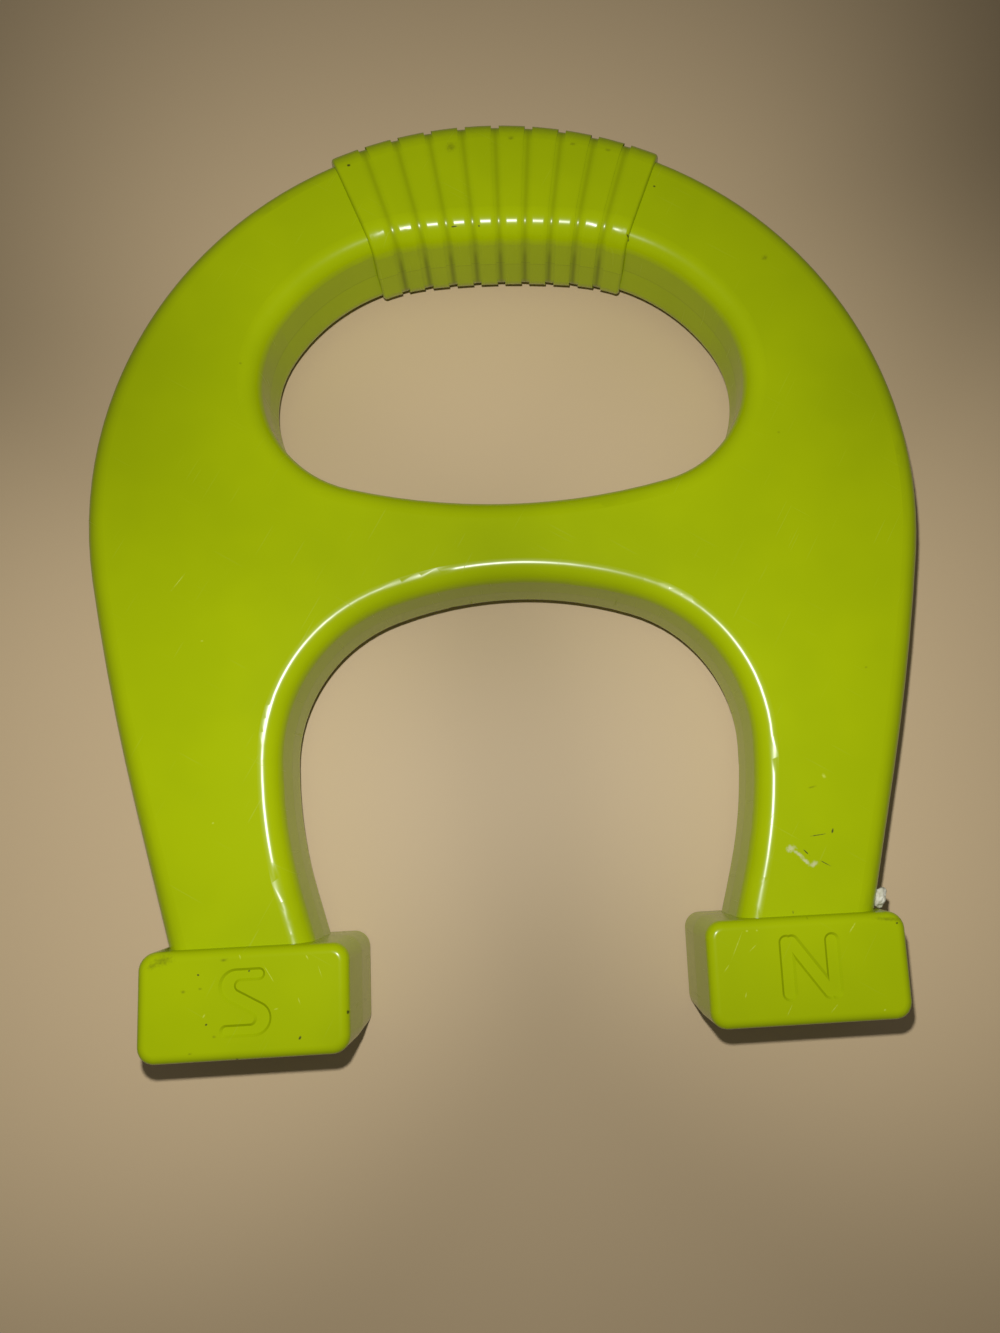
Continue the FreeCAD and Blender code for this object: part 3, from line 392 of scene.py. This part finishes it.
# A crumb of something white and hard sticks in the corner between the right leg's outside and its
# pole block. It is a lump as big as a grain of rice.
CRUMB_COLOUR = (0.72, 0.70, 0.58, 1)
CRUMB_SHADE = (0.50, 0.48, 0.36, 1)
CRUMB_PIXEL = (880.0, 898.0)
CRUMB_HEIGHT = 22.0 * MM
CRUMB_HALF = Vector((1.3, 1.95, 1.5)) * MM
CRUMB_TURN = math.radians(-18)
CRUMB_LUMPS, CRUMB_BUMPS = 0.35, 0.15
CRUMB_PATCHES = 900.0

crumb_material, tree, shader = new_material("crumb", Roughness=0.6)
place = put(tree, "ShaderNodeTexCoord").outputs["Object"]
patches = put(tree, "ShaderNodeTexNoise", {"Vector": place, "Scale": CRUMB_PATCHES, "Detail": 3.0})
mottled = ramp(tree, patches.outputs["Fac"], 0.35, 0.65, (CRUMB_SHADE, CRUMB_COLOUR))
tree.links.new(mottled, shader.inputs["Base Color"])

way = sight(CRUMB_PIXEL)
centre = CAMERA_PLACE + way * ((CRUMB_HEIGHT - CAMERA_PLACE.z) / way.z)
form = bmesh.new()
bmesh.ops.create_icosphere(form, subdivisions=4, radius=1)
for vertex in form.verts:
    swell = 1 + CRUMB_LUMPS * noise.noise(vertex.co * 1.3) + CRUMB_BUMPS * noise.noise(vertex.co * 4)
    x, y, z = (vertex.co[axis] * CRUMB_HALF[axis] * swell for axis in range(3))
    vertex.co = centre + Vector((
        x * math.cos(CRUMB_TURN) - y * math.sin(CRUMB_TURN),
        x * math.sin(CRUMB_TURN) + y * math.cos(CRUMB_TURN),
        z,
    ))
crumb_mesh = bpy.data.meshes.new("crumb")
form.to_mesh(crumb_mesh)
form.free()
crumb_mesh.materials.append(crumb_material)
crumb_mesh.polygons.foreach_set("use_smooth", [True] * len(crumb_mesh.polygons))
crumb = bpy.data.objects.new("crumb", crumb_mesh)
bpy.context.scene.collection.objects.link(crumb)
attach(crumb, "root")


# The floor is a plain pale surface that the magnet lies on.
FLOOR_COLOUR = (0.58, 0.44, 0.26, 1)
FLOOR_HALF = 3.0

floor_material, tree, shader = new_material("floor", Roughness=0.55, Specular_IOR_Level=0.4)
shader.inputs["Base Color"].default_value = FLOOR_COLOUR
form = bmesh.new()
bmesh.ops.create_grid(form, x_segments=1, y_segments=1, size=FLOOR_HALF)
floor_mesh = bpy.data.meshes.new("floor")
form.to_mesh(floor_mesh)
form.free()
floor_mesh.materials.append(floor_material)
floor = bpy.data.objects.new("floor", floor_mesh)
bpy.context.scene.collection.objects.link(floor)

# Small round lamps side by side next to the camera give the highlights and the shadows: one lights it
# all, and three with narrower beams even out the sides. A soft sky fills in.
LAMP_PLACE = Vector((-5, -36, 235)) * MM
LAMP_RADIUS = 3.0 * MM
LAMPS = (
    ("wide_lamp", (-50, -95, 0), 150, 1.15),
    ("upper_lamp", (-5, 130, 0), 60, 1.15),
    ("left_lamp", (-100, -55, 0), 54, 0.75),
    ("right_lamp", (115, -35, 0), 60, 0.85),
)
SKY_COLOUR = (1.0, 0.97, 0.90, 1)
SKY_STRENGTH = 0.11

for name, aim, beam, watts in LAMPS:
    lamp_data = bpy.data.lights.new(name, "SPOT")
    lamp_data.spot_size = math.radians(beam)
    lamp_data.spot_blend = 1.0
    lamp_data.shadow_soft_size = LAMP_RADIUS
    lamp_data.energy = watts
    lamp = bpy.data.objects.new(name, lamp_data)
    lamp.location = LAMP_PLACE
    lamp.rotation_euler = (Vector(aim) * MM - LAMP_PLACE).to_track_quat("-Z", "Y").to_euler()
    lamp.visible_camera = False
    bpy.context.scene.collection.objects.link(lamp)

world = bpy.data.worlds.new("sky")
world.use_nodes = True
world.node_tree.nodes["Background"].inputs["Color"].default_value = SKY_COLOUR
world.node_tree.nodes["Background"].inputs["Strength"].default_value = SKY_STRENGTH
bpy.context.scene.world = world
bpy.context.scene.view_settings.view_transform = "Standard"
